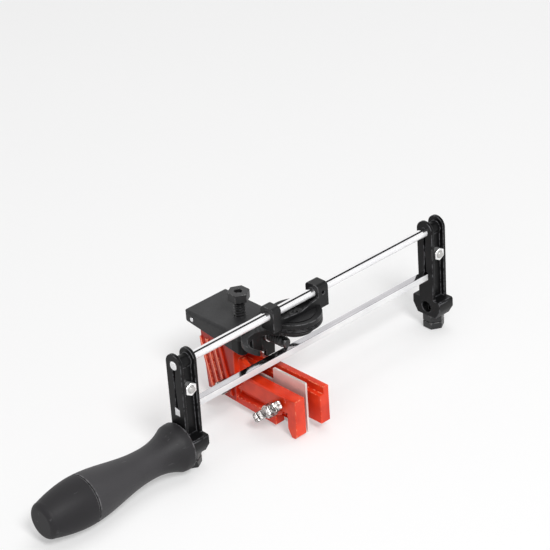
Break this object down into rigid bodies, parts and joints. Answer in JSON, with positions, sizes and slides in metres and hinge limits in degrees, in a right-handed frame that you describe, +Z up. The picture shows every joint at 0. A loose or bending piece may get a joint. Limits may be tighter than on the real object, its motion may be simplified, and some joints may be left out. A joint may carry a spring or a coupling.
{
  "type": "bar-mounted file guide",
  "caption": "Clamp-on sharpening guide: red saddle clamp, black height-adjustable head, swivelling rod guide, and a file frame with a round handle that slides on a rod.",
  "frame": {"origin": "on the top edge of the clamped bar, in the middle plane of the clamp slot, straight under the guide rod", "axes": "+X along the clamp slot, away from the head; +Y along the guide rod, away from the handle; +Z up"},
  "size_m": [0.1041, 0.3453, 0.0817],
  "materials": {
    "red_paint": "gloss red-orange paint on a casting",
    "steel_sheet": "bright pressed sheet",
    "zinc": "zinc-plated",
    "black_plastic": "fine-grained moulding",
    "steel_pin": "bright drawn steel",
    "black_steel": "blackened, slightly oily",
    "bright_rod": "ground and polished",
    "file_steel": "bright, finely cut",
    "arm_plastic": "satin moulding",
    "handle_plastic": "matt, soft grain"
  },
  "bodies": {
    "base": {"saddle_base": "red_paint"},
    "head": {"head_housing": "black_plastic", "cross_pin": "steel_pin", "swivel_base": "black_plastic", "pivot_screw": "black_steel", "pivot_nut": "zinc", "stop_ring": "zinc"},
    "height_screw": {"height_screw": "black_steel"},
    "plate": {"pressure_plate": "steel_sheet"},
    "wing_left": {"wing_screw_left": "zinc"},
    "wing_right": {"wing_screw_right": "zinc"},
    "yoke": {"rod_guide": "black_plastic"},
    "rod": {"guide_rod": "bright_rod"},
    "frame": {"near_arm": "arm_plastic", "far_arm": "arm_plastic", "file": "file_steel", "arm_screws": "zinc", "arm_nuts": "zinc", "foot_screws": "black_steel", "foot_nuts": "black_steel", "handle_stud": "steel_pin", "handle_grip": "handle_plastic", "handle_cap": "handle_plastic"},
    "stop": {"stop_screw": "black_steel"}
  },
  "joints": [
    {"name": "head_lift", "type": "slide", "parent": "base", "child": "head", "axis": [0, 0, 1], "range_m": [-0.0015, 0.006]},
    {"name": "height_turn", "type": "hinge", "parent": "base", "child": "height_screw", "pos_m": [-0.0335, 0.0022, 0.03], "axis": [0, 0, 1], "range_deg": [-1090, 280]},
    {"name": "plate_slide", "type": "slide", "parent": "base", "child": "plate", "axis": [0, 1, 0], "range_m": [-0.0022, 0.0005]},
    {"name": "wing_left_turn", "type": "hinge", "parent": "plate", "child": "wing_left", "pos_m": [-0.03, -0.02, -0.0112], "axis": [0, 1, 0], "range_deg": [-800, 190]},
    {"name": "wing_right_turn", "type": "hinge", "parent": "plate", "child": "wing_right", "pos_m": [0.013, -0.02, -0.0112], "axis": [0, 1, 0], "range_deg": [-800, 190]},
    {"name": "swivel", "type": "hinge", "parent": "head", "child": "yoke", "pos_m": [0, 0.019, 0.035], "axis": [0, 0, 1], "range_deg": [-30, 30]},
    {"name": "rod_slide", "type": "slide", "parent": "yoke", "child": "rod", "axis": [0, 1, 0], "range_m": [-0.08, 0.02]},
    {"name": "frame_roll", "type": "hinge", "parent": "rod", "child": "frame", "pos_m": [0, 0, 0.046], "axis": [0, -1, 0], "range_deg": [-2, 70]},
    {"name": "stop_travel", "type": "slide", "parent": "head", "child": "stop", "axis": [1, 0, 0], "range_m": [-0.0035, 0.0005]}
  ],
  "couplings": [
    {"joint": "height_turn", "follows": "head_lift", "rad_per_m": -3141.6},
    {"joint": "wing_left_turn", "follows": "plate_slide", "rad_per_m": 6283.2},
    {"joint": "wing_right_turn", "follows": "plate_slide", "rad_per_m": 6283.2}
  ]
}
